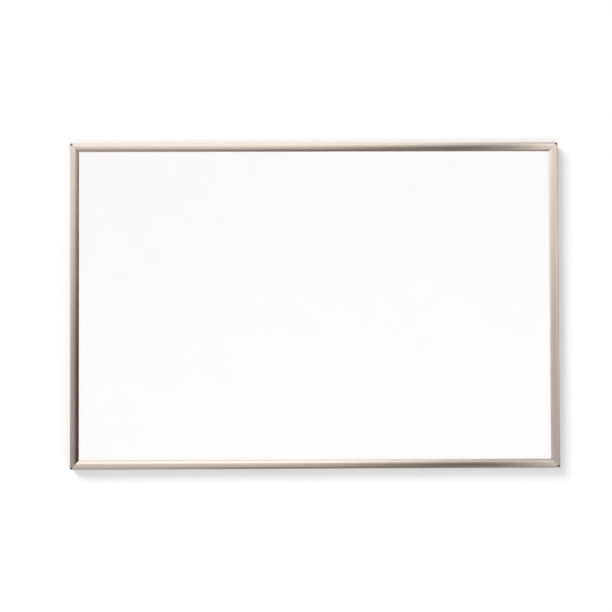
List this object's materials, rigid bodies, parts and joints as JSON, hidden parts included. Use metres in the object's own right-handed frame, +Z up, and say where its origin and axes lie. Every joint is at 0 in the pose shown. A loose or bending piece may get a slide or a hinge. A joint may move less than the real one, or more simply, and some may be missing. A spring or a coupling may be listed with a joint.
{
  "type": "whiteboard",
  "caption": "Wall-hung whiteboard: white lacquered steel panel in a mitred aluminium frame with a rounded front, with dark corner keys, hung on keyhole plates that slide along the back.",
  "frame": {"origin": "middle of the back face of the top rail, on the wall plane", "axes": "+X to the viewer's right along the width, +Y into the wall, +Z up; the writing face looks along -Y"},
  "size_m": [0.9, 0.018, 0.6],
  "materials": {
    "white_lacquer": "gloss white lacquer on thin steel sheet",
    "fibreboard": "raw soft fibreboard",
    "galvanised_steel": "spangled zinc coating",
    "anodised_aluminium": "satin anodised, warm silver",
    "dark_nylon": "moulded, dull",
    "zinc_plated_steel": "bright zinc plate"
  },
  "bodies": {
    "board": {"writing_sheet": "white_lacquer", "core_board": "fibreboard", "backing_sheet": "galvanised_steel", "top_rail": "anodised_aluminium", "right_rail": "anodised_aluminium", "bottom_rail": "anodised_aluminium", "left_rail": "anodised_aluminium", "top_right_corner_key": "dark_nylon", "bottom_right_corner_key": "dark_nylon", "bottom_left_corner_key": "dark_nylon", "top_left_corner_key": "dark_nylon", "top_rail_screw_right": "zinc_plated_steel", "right_rail_screw_top": "zinc_plated_steel", "bottom_rail_screw_right": "zinc_plated_steel", "right_rail_screw_bottom": "zinc_plated_steel", "bottom_rail_screw_left": "zinc_plated_steel", "left_rail_screw_bottom": "zinc_plated_steel", "top_rail_screw_left": "zinc_plated_steel", "left_rail_screw_top": "zinc_plated_steel"},
    "top_left_hanger_body": {"top_left_hanger": "zinc_plated_steel"},
    "top_right_hanger_body": {"top_right_hanger": "zinc_plated_steel"},
    "bottom_left_hanger_body": {"bottom_left_hanger": "zinc_plated_steel"},
    "bottom_right_hanger_body": {"bottom_right_hanger": "zinc_plated_steel"}
  },
  "joints": [
    {"name": "top_left_hanger_slide", "type": "slide", "parent": "board", "child": "top_left_hanger_body", "axis": [1, 0, 0], "range_m": [-0.118, 0.275]},
    {"name": "top_right_hanger_slide", "type": "slide", "parent": "board", "child": "top_right_hanger_body", "axis": [1, 0, 0], "range_m": [-0.275, 0.118]},
    {"name": "bottom_left_hanger_slide", "type": "slide", "parent": "board", "child": "bottom_left_hanger_body", "axis": [1, 0, 0], "range_m": [-0.118, 0.275]},
    {"name": "bottom_right_hanger_slide", "type": "slide", "parent": "board", "child": "bottom_right_hanger_body", "axis": [1, 0, 0], "range_m": [-0.275, 0.118]}
  ]
}
